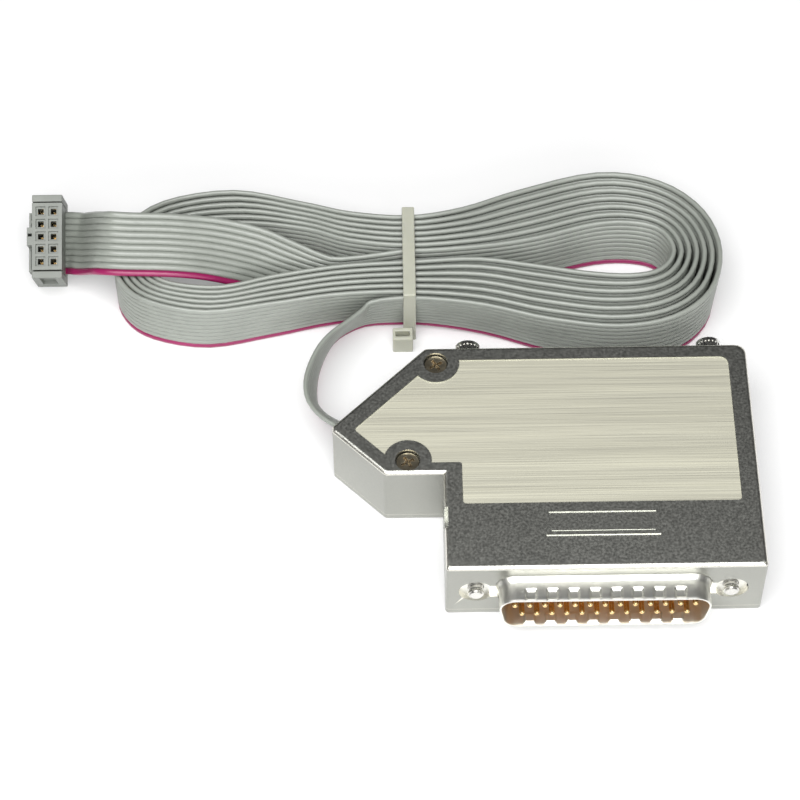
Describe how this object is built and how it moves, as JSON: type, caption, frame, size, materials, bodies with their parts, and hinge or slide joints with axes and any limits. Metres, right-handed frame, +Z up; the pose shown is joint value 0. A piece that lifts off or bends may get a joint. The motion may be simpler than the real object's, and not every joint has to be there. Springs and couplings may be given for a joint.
{
  "type": "microcontroller programmer",
  "caption": "In-system microcontroller programmer in a metallised D-sub hood, with captive jackscrews, a tied grey ribbon lead and a programming socket.",
  "frame": {"origin": "centre of the box round the hood, plug and jackscrews, on the surface that the hood lies on", "axes": "+X to the right along the plug's rows of pins, +Y from the plug towards the jackscrews' heads, +Z up; the plug faces -Y"},
  "size_m": [0.1404, 0.0992, 0.0204],
  "materials": {
    "hood": "nickel-metallised plastic, satin, with a brushed panel",
    "screw_steel": "nickel-plated steel",
    "plug_steel": "tin-plated sheet steel, bright",
    "clip_steel": "phosphated spring steel",
    "black_plastic": "glass-filled plastic, matt",
    "gold": "gold-plated brass",
    "board": "green solder resist",
    "tinned": "tinned",
    "component": "lacquered components",
    "ribbon": "grey vinyl ribbon with one magenta edge wire",
    "tie": "natural nylon, translucent",
    "socket": "light grey moulded plastic"
  },
  "bodies": {
    "hood": {"top_shell": "hood", "bottom_cover": "hood", "housing_screws": "screw_steel", "plug_front_shell": "plug_steel", "plug_rear_shell": "plug_steel", "front_insulator": "black_plastic", "rear_insulator": "black_plastic", "contact_pins": "gold", "flange_eyelets": "plug_steel", "circuit_board": "board", "buffer_chip": "black_plastic", "chip_legs": "tinned", "resistors": "component", "bypass_capacitor": "component", "cable_clamp": "black_plastic", "clamp_screw": "screw_steel", "ribbon_lead": "ribbon", "ribbon_hank": "ribbon", "ribbon_tail": "ribbon", "tie_strap": "tie", "tie_head": "tie", "socket_body": "socket", "socket_cover": "socket", "socket_contacts": "gold"},
    "left_clip": {"left_retaining_clip": "clip_steel"},
    "right_clip": {"right_retaining_clip": "clip_steel"},
    "left_screw": {"left_jackscrew": "screw_steel"},
    "right_screw": {"right_jackscrew": "screw_steel"}
  },
  "joints": [
    {"name": "left_screw_slide", "type": "slide", "parent": "hood", "child": "left_clip", "axis": [0, -1, 0], "range_m": [0, 0.0048]},
    {"name": "left_screw_turn", "type": "hinge", "parent": "left_clip", "child": "left_screw", "pos_m": [-0.01347, 0.01775, 0.0079], "axis": [0, -1, 0], "continuous": true},
    {"name": "right_screw_slide", "type": "slide", "parent": "hood", "child": "right_clip", "axis": [0, -1, 0], "range_m": [0, 0.0048]},
    {"name": "right_screw_turn", "type": "hinge", "parent": "right_clip", "child": "right_screw", "pos_m": [0.03357, 0.01775, 0.0079], "axis": [0, -1, 0], "continuous": true}
  ]
}
